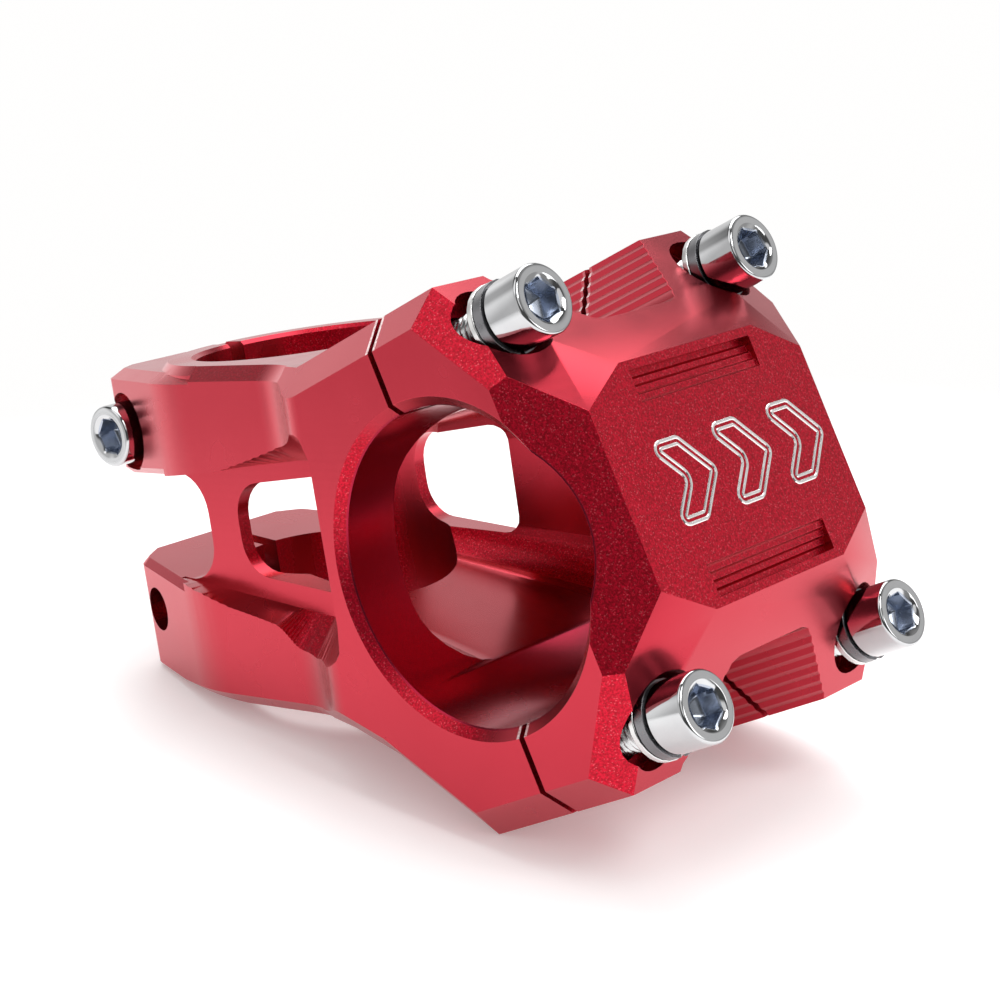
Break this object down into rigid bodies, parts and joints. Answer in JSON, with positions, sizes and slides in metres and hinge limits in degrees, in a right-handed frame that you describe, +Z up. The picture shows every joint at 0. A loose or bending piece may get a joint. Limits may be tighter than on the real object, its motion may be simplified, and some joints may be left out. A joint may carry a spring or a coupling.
{
  "type": "handlebar stem",
  "caption": "Short open-webbed bicycle stem with a tilted split clamp and removable faceplate for the handlebar, and a slotted pinch clamp for the steerer tube.",
  "frame": {"origin": "middle of the underside of the bounding box, with the steerer axis upright", "axes": "+X forwards from the steerer to the handlebar, +Y to the rider's left along the handlebar, +Z up along the steerer axis"},
  "size_m": [0.098, 0.048, 0.0616],
  "materials": {
    "anodised_red": "satin anodised, fine-blasted on the front facets",
    "chrome_steel": "bright plated",
    "dark_steel": "dark spring steel",
    "bright_steel": "bright"
  },
  "bodies": {
    "stem": {"stem_body": "anodised_red"},
    "faceplate": {"faceplate": "anodised_red"},
    "faceplate_washers_upper_right": {"faceplate_lock_washer_upper_right": "dark_steel", "faceplate_flat_washer_upper_right": "bright_steel"},
    "faceplate_bolt_upper_right": {"faceplate_bolt_upper_right": "chrome_steel"},
    "faceplate_washers_upper_left": {"faceplate_lock_washer_upper_left": "dark_steel", "faceplate_flat_washer_upper_left": "bright_steel"},
    "faceplate_bolt_upper_left": {"faceplate_bolt_upper_left": "chrome_steel"},
    "faceplate_washers_lower_right": {"faceplate_lock_washer_lower_right": "dark_steel", "faceplate_flat_washer_lower_right": "bright_steel"},
    "faceplate_bolt_lower_right": {"faceplate_bolt_lower_right": "chrome_steel"},
    "faceplate_washers_lower_left": {"faceplate_lock_washer_lower_left": "dark_steel", "faceplate_flat_washer_lower_left": "bright_steel"},
    "faceplate_bolt_lower_left": {"faceplate_bolt_lower_left": "chrome_steel"},
    "steerer_washers_upper": {"steerer_lock_washer_upper": "dark_steel", "steerer_flat_washer_upper": "bright_steel"},
    "steerer_bolt_upper": {"steerer_bolt_upper": "chrome_steel"},
    "steerer_washers_lower": {"steerer_lock_washer_lower": "dark_steel", "steerer_flat_washer_lower": "bright_steel"},
    "steerer_bolt_lower": {"steerer_bolt_lower": "chrome_steel"}
  },
  "joints": [
    {"name": "faceplate_slide", "type": "slide", "parent": "stem", "child": "faceplate", "axis": [0.9455, 0, 0.3256], "range_m": [0, 0.0055]},
    {"name": "faceplate_bolt_upper_right_travel", "type": "slide", "parent": "stem", "child": "faceplate_washers_upper_right", "axis": [0.9455, 0, 0.3256], "range_m": [-0.0056, 0.002]},
    {"name": "faceplate_bolt_upper_right_turn", "type": "hinge", "parent": "faceplate_washers_upper_right", "child": "faceplate_bolt_upper_right", "pos_m": [0.01435, -0.01765, 0.05137], "axis": [0.9455, 0, 0.3256], "range_deg": [-2525, 905]},
    {"name": "faceplate_bolt_upper_left_travel", "type": "slide", "parent": "stem", "child": "faceplate_washers_upper_left", "axis": [0.9455, 0, 0.3256], "range_m": [-0.0056, 0.002]},
    {"name": "faceplate_bolt_upper_left_turn", "type": "hinge", "parent": "faceplate_washers_upper_left", "child": "faceplate_bolt_upper_left", "pos_m": [0.01435, 0.01765, 0.05137], "axis": [0.9455, 0, 0.3256], "range_deg": [-2525, 905]},
    {"name": "faceplate_bolt_lower_right_travel", "type": "slide", "parent": "stem", "child": "faceplate_washers_lower_right", "axis": [0.9455, 0, 0.3256], "range_m": [-0.0056, 0.002]},
    {"name": "faceplate_bolt_lower_right_turn", "type": "hinge", "parent": "faceplate_washers_lower_right", "child": "faceplate_bolt_lower_right", "pos_m": [0.02864, -0.01765, 0.00987], "axis": [0.9455, 0, 0.3256], "range_deg": [-2525, 905]},
    {"name": "faceplate_bolt_lower_left_travel", "type": "slide", "parent": "stem", "child": "faceplate_washers_lower_left", "axis": [0.9455, 0, 0.3256], "range_m": [-0.0056, 0.002]},
    {"name": "faceplate_bolt_lower_left_turn", "type": "hinge", "parent": "faceplate_washers_lower_left", "child": "faceplate_bolt_lower_left", "pos_m": [0.02864, 0.01765, 0.00987], "axis": [0.9455, 0, 0.3256], "range_deg": [-2525, 905]},
    {"name": "steerer_bolt_upper_travel", "type": "slide", "parent": "stem", "child": "steerer_washers_upper", "axis": [0, -1, 0], "range_m": [0, 0.004]},
    {"name": "steerer_bolt_upper_turn", "type": "hinge", "parent": "steerer_washers_upper", "child": "steerer_bolt_upper", "pos_m": [-0.0433, -0.018, 0.04344], "axis": [0, -1, 0], "range_deg": [0, 1805]},
    {"name": "steerer_bolt_lower_travel", "type": "slide", "parent": "stem", "child": "steerer_washers_lower", "axis": [0, 1, 0], "range_m": [0, 0.004]},
    {"name": "steerer_bolt_lower_turn", "type": "hinge", "parent": "steerer_washers_lower", "child": "steerer_bolt_lower", "pos_m": [-0.0433, 0.018, 0.02014], "axis": [0, 1, 0], "range_deg": [0, 1805]}
  ],
  "couplings": [
    {"joint": "faceplate_bolt_upper_right_turn", "follows": "faceplate_bolt_upper_right_travel", "rad_per_m": 7854},
    {"joint": "faceplate_bolt_upper_left_turn", "follows": "faceplate_bolt_upper_left_travel", "rad_per_m": 7854},
    {"joint": "faceplate_bolt_lower_right_turn", "follows": "faceplate_bolt_lower_right_travel", "rad_per_m": 7854},
    {"joint": "faceplate_bolt_lower_left_turn", "follows": "faceplate_bolt_lower_left_travel", "rad_per_m": 7854},
    {"joint": "steerer_bolt_upper_turn", "follows": "steerer_bolt_upper_travel", "rad_per_m": 7854},
    {"joint": "steerer_bolt_lower_turn", "follows": "steerer_bolt_lower_travel", "rad_per_m": 7854}
  ]
}
